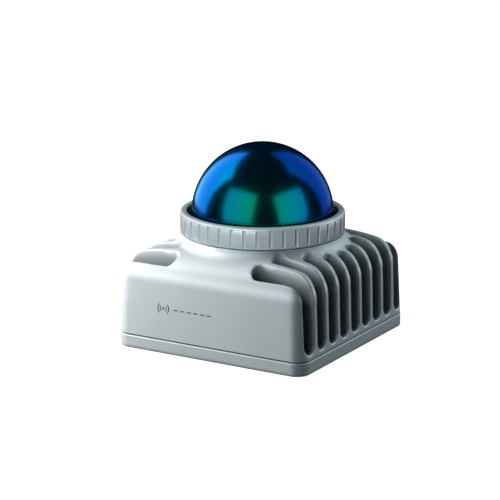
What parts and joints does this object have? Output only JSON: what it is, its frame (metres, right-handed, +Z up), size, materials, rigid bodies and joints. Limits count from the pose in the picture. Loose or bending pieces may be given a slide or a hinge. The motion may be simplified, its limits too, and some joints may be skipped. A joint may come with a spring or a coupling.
{
  "type": "lidar scanner module",
  "caption": "Compact lidar scanner module: finned square cast housing, knurled ring and domed window over a turning scan head with a faceted mirror.",
  "frame": {"origin": "centre of the base plate's underside, where the module is fastened down", "axes": "+Z up through the dome, -Y towards the plain front wall, +Y towards the rear connector, +X and -X towards the finned sides"},
  "size_m": [0.065, 0.0745, 0.06],
  "materials": {
    "painted_housing": "fine matt silver-grey paint over cast aluminium",
    "bare_aluminium": "machined",
    "steel": "machined, plain",
    "plated_connector": "nickel plated, satin",
    "brass": "machined",
    "gold_contacts": "gold plated",
    "rubber": "matt black",
    "dome_coating": "polished, interference coated, opaque to the eye",
    "black_plastic": "moulded",
    "green_board": "solder-masked glass epoxy",
    "copper": "enamelled winding",
    "magnet": "nickel plated magnet",
    "mirror_coating": "first-surface coating",
    "lens_glass": "polished",
    "silicone_pad": "soft thermal pad",
    "wire_sleeve": "sleeved wires"
  },
  "bodies": {
    "root": {"housing": "painted_housing", "base_plate": "painted_housing", "base_gasket": "rubber", "retaining_ring": "painted_housing", "dome_window": "dome_coating", "dome_seal": "rubber", "connector_shell": "plated_connector", "connector_seal": "rubber", "connector_nut": "brass", "connector_insert": "black_plastic", "connector_contacts": "gold_contacts", "wire_harness": "wire_sleeve", "main_board": "green_board", "laser_board": "green_board", "processor_chip": "black_plastic", "thermal_pad": "silicone_pad", "memory_chip": "black_plastic", "network_transformer": "black_plastic", "motion_sensor_chip": "black_plastic", "board_link": "black_plastic", "laser_emitter": "gold_contacts", "receiver_sensor": "black_plastic", "motor_mount": "bare_aluminium", "motor_stator": "copper", "lower_bearing": "steel", "upper_bearing": "steel", "fixed_power_coil": "copper", "encoder_reader": "black_plastic", "lens_barrel": "black_plastic", "objective_lens": "lens_glass", "base_screw_1": "steel", "board_standoff_1": "brass", "board_screw_1": "steel", "motor_screw_1": "steel", "base_screw_2": "steel", "board_standoff_2": "brass", "board_screw_2": "steel", "motor_screw_2": "steel", "base_screw_3": "steel", "board_standoff_3": "brass", "board_screw_3": "steel", "motor_screw_3": "steel", "base_screw_4": "steel", "board_standoff_4": "brass", "board_screw_4": "steel", "motor_screw_4": "steel"},
    "scan_head": {"rotor_hub": "bare_aluminium", "magnet_ring": "magnet", "turning_power_coil": "copper", "encoder_disc": "steel", "mirror_yoke": "bare_aluminium", "mirror_bearing_left": "steel", "mirror_bearing_right": "steel", "mirror_motor": "black_plastic", "balance_weight": "brass", "head_board": "green_board"},
    "mirror_drum": {"facet_mirror": "mirror_coating", "mirror_axle": "steel"}
  },
  "joints": [
    {"name": "head_spin", "type": "hinge", "parent": "root", "child": "scan_head", "pos_m": [0, 0, 0.03], "axis": [0, 0, 1], "continuous": true},
    {"name": "mirror_spin", "type": "hinge", "parent": "scan_head", "child": "mirror_drum", "pos_m": [0, 0, 0.042], "axis": [1, 0, 0], "continuous": true}
  ]
}
